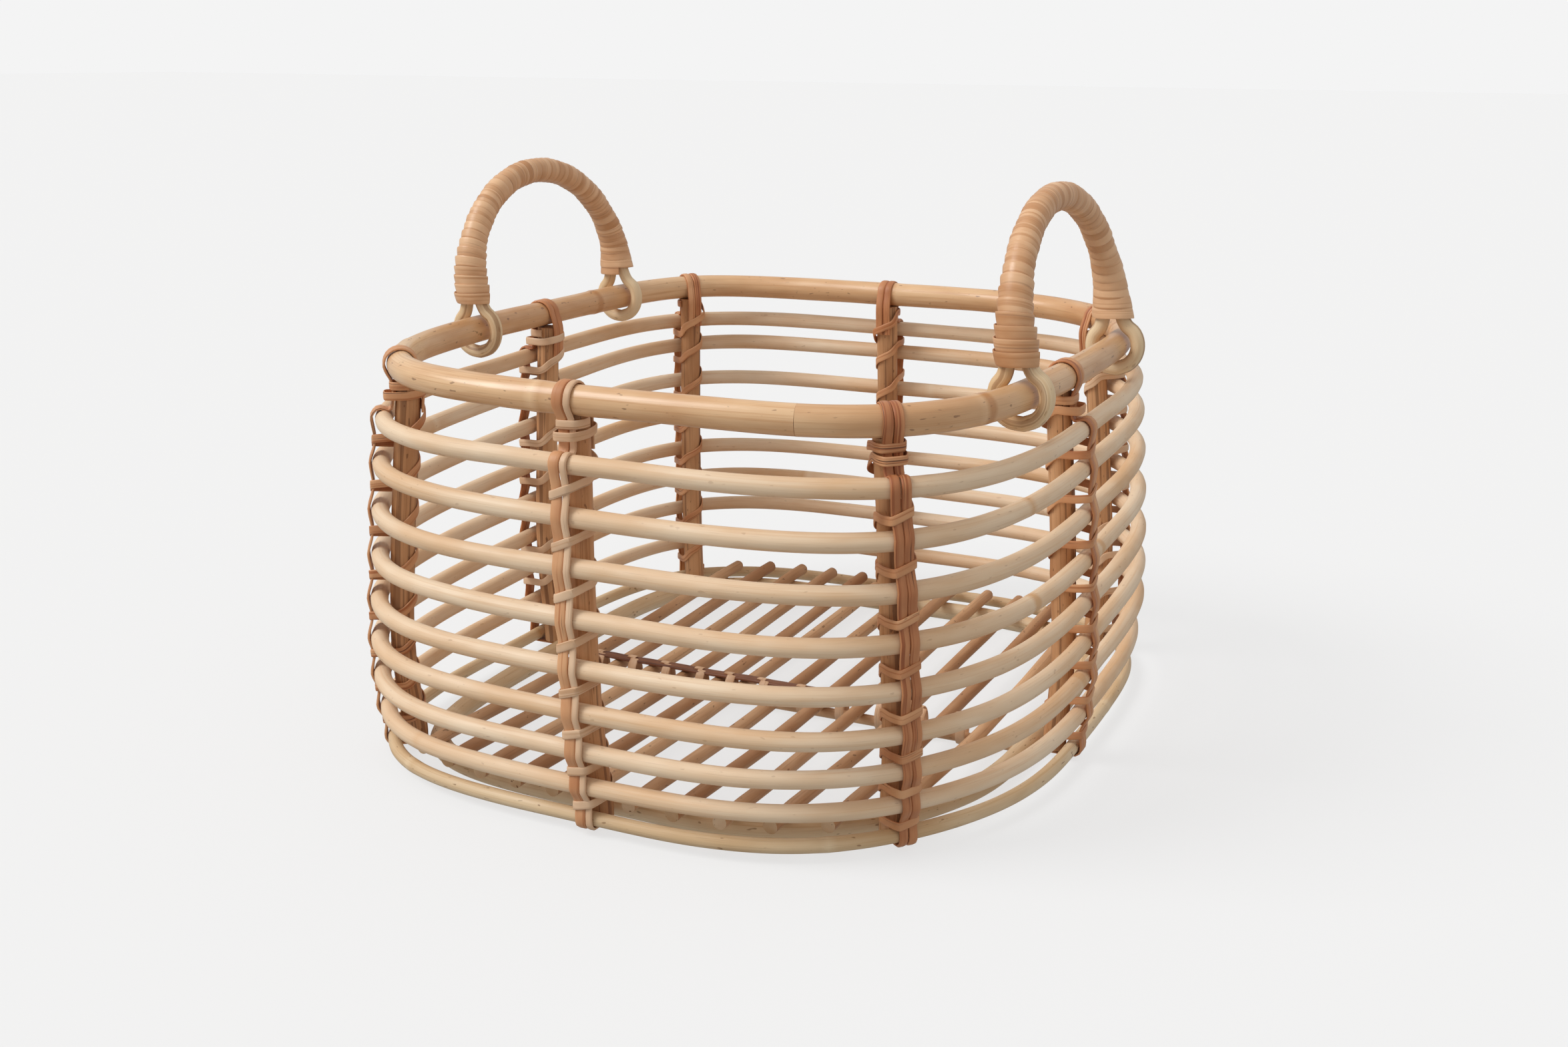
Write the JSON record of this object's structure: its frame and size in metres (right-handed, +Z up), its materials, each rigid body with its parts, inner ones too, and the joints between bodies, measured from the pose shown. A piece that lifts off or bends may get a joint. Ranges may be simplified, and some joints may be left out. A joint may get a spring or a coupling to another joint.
{
  "type": "cane basket",
  "caption": "Open-weave cane basket: rounded-square rim pole, level hoops bound to posts with peel, slatted rod floor and two wrapped drop handles.",
  "frame": {"origin": "on the floor, under the middle of the basket", "axes": "+Z up; +Y from front to back along the floor rods; +X to the right, towards the right handle"},
  "size_m": [0.44, 0.5001, 0.3521],
  "materials": {
    "rim_skin": "glossy skin-on rattan pole",
    "hoop_core": "bare round core cane, satin",
    "post_cane": "weathered tan cane, satin",
    "peel": "orange-brown rattan peel, satin",
    "russet_peel": "dark russet peel, matt",
    "loop_cane": "bent core cane, satin",
    "grip_peel": "peel wrapping, satin"
  },
  "bodies": {
    "basket": {"rim_pole": "rim_skin", "hoop_1": "hoop_core", "hoop_2": "hoop_core", "hoop_3": "hoop_core", "hoop_4": "hoop_core", "hoop_5": "hoop_core", "hoop_6": "hoop_core", "hoop_7": "hoop_core", "hoop_8": "hoop_core", "bottom_hoop": "hoop_core", "base_ring": "post_cane", "post_front_left": "post_cane", "post_front_mid": "post_cane", "post_front_right": "post_cane", "post_right_mid": "post_cane", "post_back_right": "post_cane", "post_back_mid": "post_cane", "post_back_left": "post_cane", "post_left_mid": "post_cane", "strips_front_left": "peel", "strips_front_mid": "peel", "strips_front_right": "peel", "strips_right_mid": "peel", "strips_back_right": "peel", "strips_back_mid": "peel", "strips_back_left": "peel", "strips_left_mid": "peel", "lashing_front_left": "peel", "lashing_front_mid": "peel", "lashing_front_right": "peel", "lashing_right_mid": "peel", "lashing_back_right": "peel", "lashing_back_mid": "peel", "lashing_back_left": "peel", "lashing_left_mid": "peel", "floor_rod_1": "post_cane", "floor_rod_2": "post_cane", "floor_rod_3": "post_cane", "floor_rod_4": "post_cane", "floor_rod_5": "post_cane", "floor_rod_6": "post_cane", "floor_rod_7": "post_cane", "floor_rod_8": "post_cane", "floor_rod_9": "post_cane", "floor_rod_10": "post_cane", "floor_rod_11": "post_cane", "floor_rod_12": "post_cane", "floor_bearer": "post_cane", "floor_strip": "russet_peel", "floor_lashing": "peel"},
    "left_handle": {"handle_core_left": "loop_cane", "handle_wrap_left": "grip_peel"},
    "right_handle": {"handle_core_right": "loop_cane", "handle_wrap_right": "grip_peel"}
  },
  "joints": [
    {"name": "left_handle_swing", "type": "hinge", "parent": "basket", "child": "left_handle", "pos_m": [-0.19529, 0.032, 0.245], "axis": [0.0097, 1, 0], "range_deg": [-105, 150]},
    {"name": "right_handle_swing", "type": "hinge", "parent": "basket", "child": "right_handle", "pos_m": [0.19359, -0.018, 0.245], "axis": [0.0068, 1, 0], "range_deg": [-135, 115]}
  ]
}
